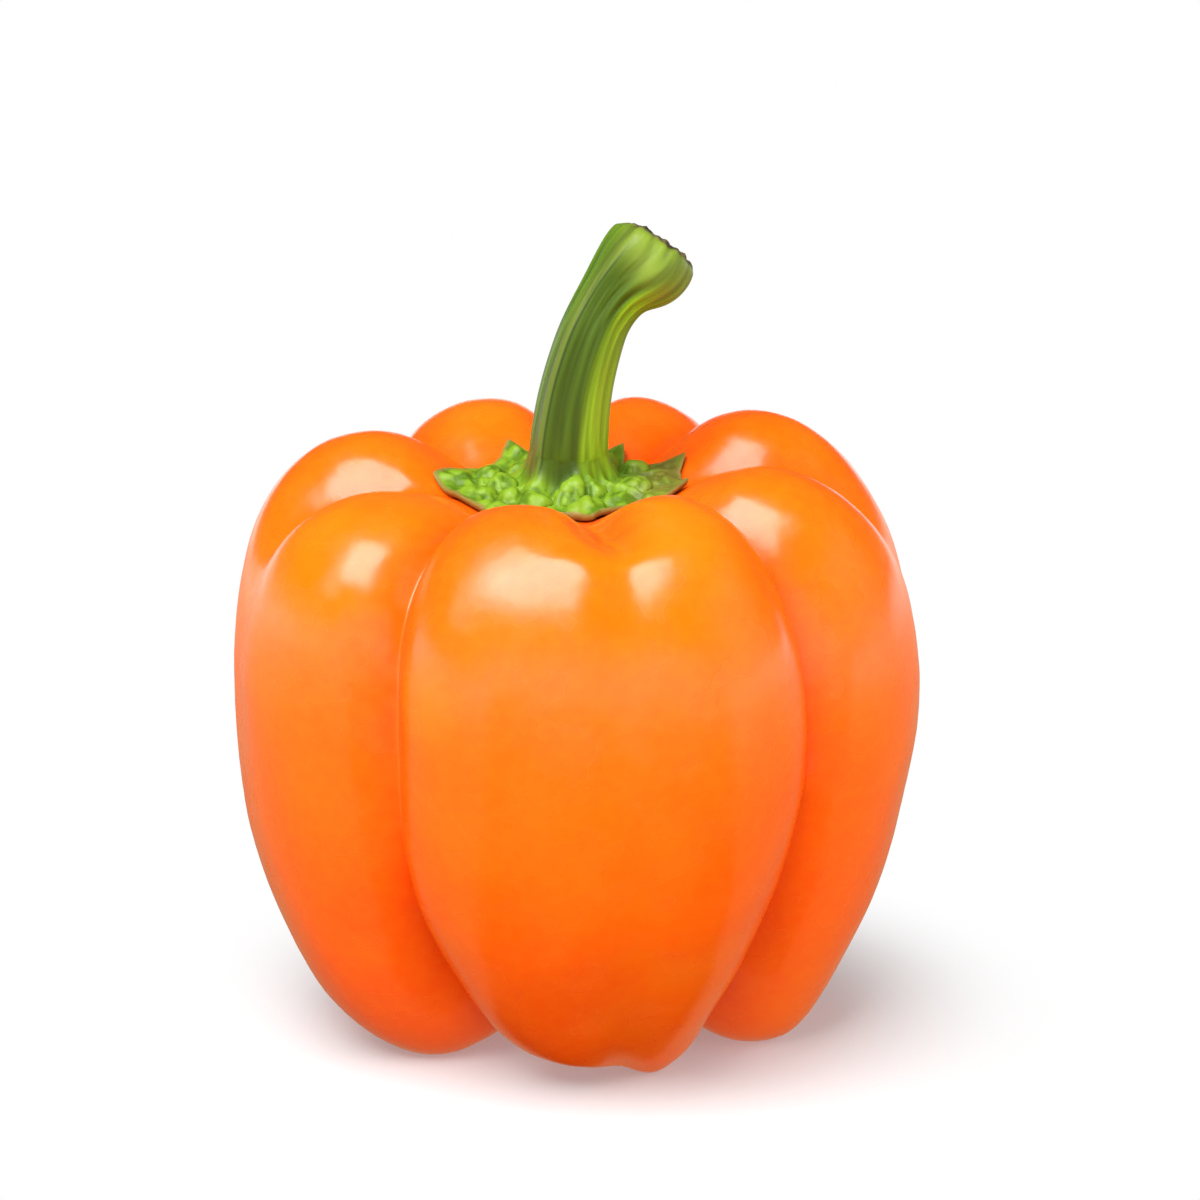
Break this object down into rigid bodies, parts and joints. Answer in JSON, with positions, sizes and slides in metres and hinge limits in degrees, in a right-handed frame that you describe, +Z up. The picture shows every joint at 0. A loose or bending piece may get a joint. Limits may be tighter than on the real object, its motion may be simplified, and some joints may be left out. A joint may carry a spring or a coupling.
{
  "type": "bell pepper",
  "caption": "Orange bell pepper standing upright, with lobed glossy fruit, a lumpy green calyx and a bent green stem.",
  "frame": {"origin": "on the surface that the pepper stands on, under the middle of the box round it", "axes": "+Z up along the fruit towards its stem, -Y to the front that the picture shows, +X to the side that the stem bends to"},
  "size_m": [0.0856, 0.084, 0.1047],
  "materials": {
    "pepper_skin": "glossy waxy orange skin, redder towards the blossom end",
    "stem_green": "satin green with fine lengthwise streaks, and dry brown skin on the cut"
  },
  "bodies": {
    "root": {"fruit": "pepper_skin", "stem_with_calyx": "stem_green"}
  },
  "joints": []
}
